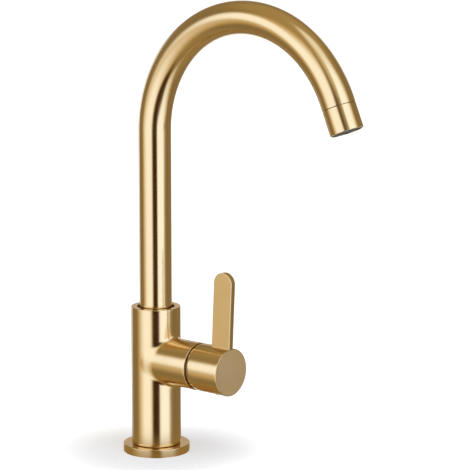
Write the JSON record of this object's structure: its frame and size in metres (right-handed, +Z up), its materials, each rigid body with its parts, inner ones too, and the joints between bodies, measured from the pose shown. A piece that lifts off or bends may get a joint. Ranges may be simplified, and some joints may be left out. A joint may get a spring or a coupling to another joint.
{
  "type": "kitchen mixer tap",
  "caption": "Single-lever kitchen mixer tap: round flange, upright body with a side valve and flat lever, and a swivelling swan-neck spout with an aerator.",
  "frame": {"origin": "middle of the body's foot, level with the underside of the flange, on the worktop", "axes": "+Z up along the body and the spout's swivel axis, +X along the valve towards the handle, with the spout at rest reaching the same way"},
  "size_m": [0.2473, 0.058, 0.4582],
  "materials": {
    "brushed_gold": "satin brushed, gold coated",
    "raw_brass": "turned, uncoated",
    "steel": "zinc-plated",
    "rubber": "matte",
    "dark_plastic": "moulded, dark grey",
    "white_plastic": "moulded, off-white",
    "ceramic": "lapped ceramic"
  },
  "bodies": {
    "mixer": {"mixer_body": "brushed_gold", "base_flange": "brushed_gold", "base_gasket": "rubber", "spout_screw": "steel", "glide_ring_lower": "white_plastic", "glide_ring_upper": "dark_plastic", "cartridge_base": "dark_plastic", "base_seal_cold": "rubber", "base_seal_hot": "rubber", "base_seal_outlet": "rubber", "fixed_disc": "ceramic", "cartridge_housing": "white_plastic", "cartridge_nut": "raw_brass", "cover_ring": "brushed_gold", "fixing_gasket": "rubber", "fixing_plate": "steel", "stud_back": "steel", "stud_front": "steel", "fixing_nut_back": "raw_brass", "fixing_nut_front": "raw_brass"},
    "spout": {"spout_tube": "brushed_gold", "spout_sleeve": "raw_brass", "o_ring_lower": "rubber", "o_ring_upper": "rubber", "aerator_housing": "brushed_gold", "aerator_insert": "dark_plastic", "aerator_screen": "steel", "aerator_washer": "rubber"},
    "turret": {"turret": "dark_plastic", "pivot_pin": "steel"},
    "disc_slide": {"moving_disc": "ceramic", "disc_carrier": "dark_plastic"},
    "lever": {"handle": "brushed_gold", "handle_screw": "steel", "handle_plug": "brushed_gold", "stem": "raw_brass"}
  },
  "joints": [
    {"name": "spout_swivel", "type": "hinge", "parent": "mixer", "child": "spout", "pos_m": [0, 0, 0.12], "axis": [0, 0, 1], "continuous": true},
    {"name": "lever_turn", "type": "hinge", "parent": "mixer", "child": "turret", "pos_m": [0.042, 0, 0.0824], "axis": [1, 0, 0], "range_deg": [-45, 45]},
    {"name": "lever_tilt", "type": "hinge", "parent": "turret", "child": "lever", "pos_m": [0.042, 0, 0.0824], "axis": [0, 1, 0], "range_deg": [0, 25]},
    {"name": "disc_slide", "type": "slide", "parent": "turret", "child": "disc_slide", "axis": [0, 0, 1], "range_m": [0, 0.0034]}
  ],
  "couplings": [
    {"joint": "disc_slide", "follows": "lever_tilt", "m_per_rad": 0.0077}
  ]
}
